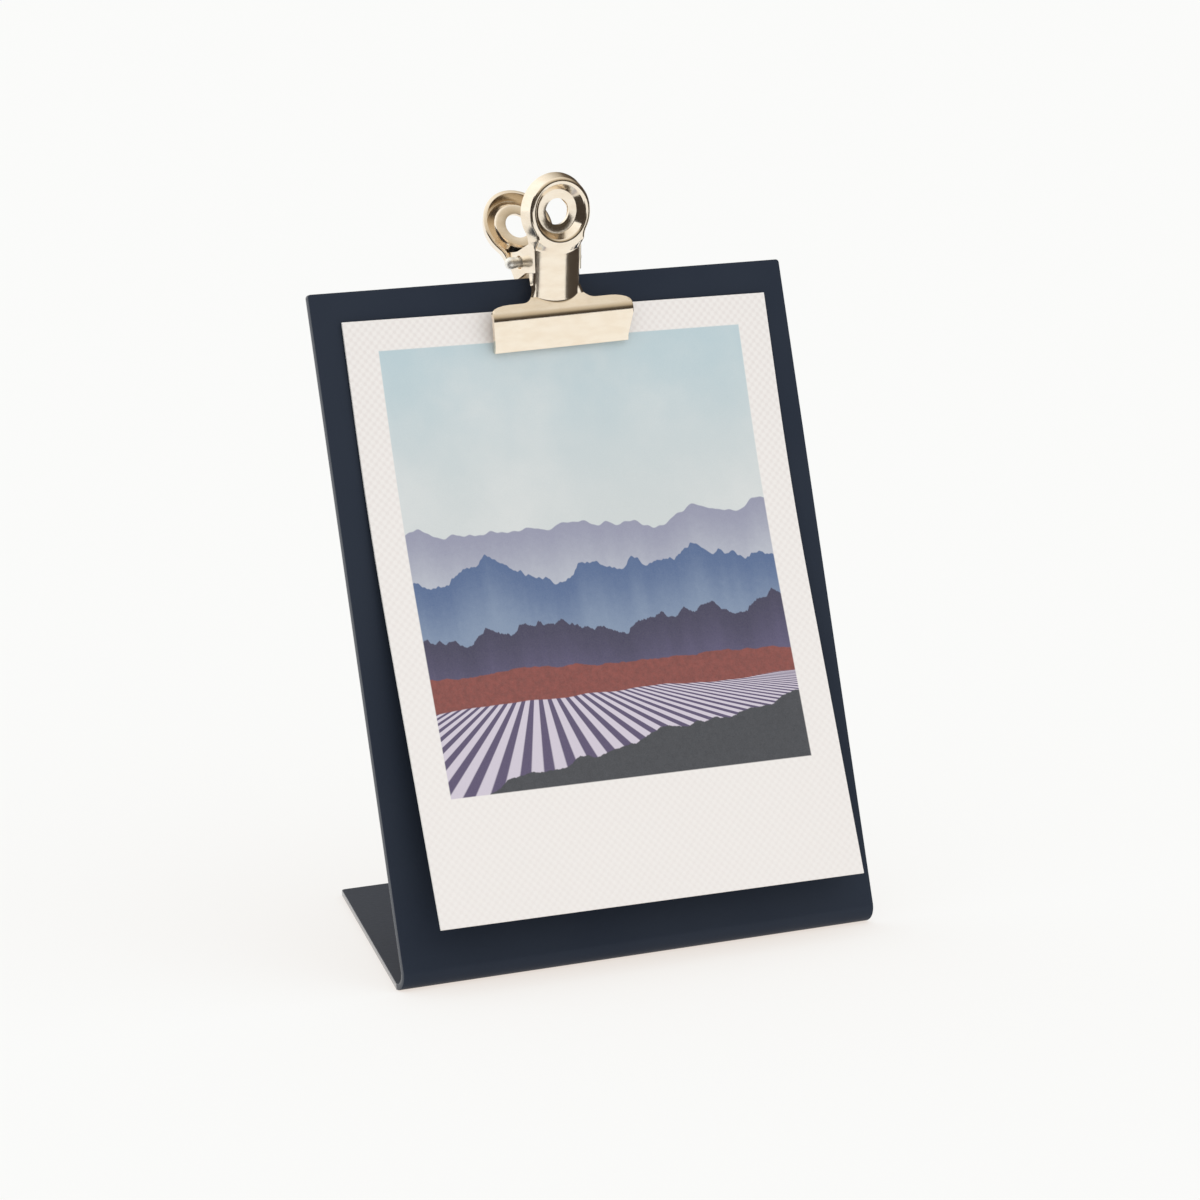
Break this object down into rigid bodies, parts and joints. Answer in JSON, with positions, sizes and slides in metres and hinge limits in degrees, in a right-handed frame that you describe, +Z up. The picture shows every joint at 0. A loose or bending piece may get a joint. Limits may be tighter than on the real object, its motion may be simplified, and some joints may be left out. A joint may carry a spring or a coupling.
{
  "type": "clipboard picture frame",
  "caption": "Desk picture frame bent from one painted steel sheet: a leaning panel on a tapered foot, with a sprung bulldog clip over the top edge that holds a print against the panel.",
  "frame": {"origin": "middle of the foot's flat underside, on the surface that the frame stands on", "axes": "+Z up, +X the viewer's right, +Y back, away from the viewer"},
  "size_m": [0.1, 0.0744, 0.1413],
  "materials": {
    "navy_powder_coat": "satin powder coat",
    "print_paper": "dimpled border, smooth picture",
    "nickel_plate": "bright warm nickel",
    "spring_wire": "bright drawn wire"
  },
  "bodies": {
    "stand": {"stand_sheet": "navy_powder_coat"},
    "clip_rear": {"clip_rear_plate": "nickel_plate", "clip_pin": "nickel_plate", "clip_spring": "spring_wire"},
    "clip_front": {"clip_front_plate": "nickel_plate"},
    "print": {"photo_print": "print_paper"}
  },
  "joints": [
    {"name": "clip_lift", "type": "slide", "parent": "stand", "child": "clip_rear", "axis": [-0.0201, 0.284, 0.9586], "range_m": [0, 0.025]},
    {"name": "clip_squeeze", "type": "hinge", "parent": "clip_rear", "child": "clip_front", "pos_m": [-0.0009, 0.00004, 0.12474], "axis": [-0.9998, -0.0057, -0.0192], "range_deg": [0, 45], "stiffness_Nm_per_rad": 0.05, "springref_deg": -4.58, "deforming": ["clip_spring"]},
    {"name": "print_slide", "type": "slide", "parent": "stand", "child": "print", "axis": [1, -0.002, -0.0067], "range_m": [0, 0.1]}
  ]
}
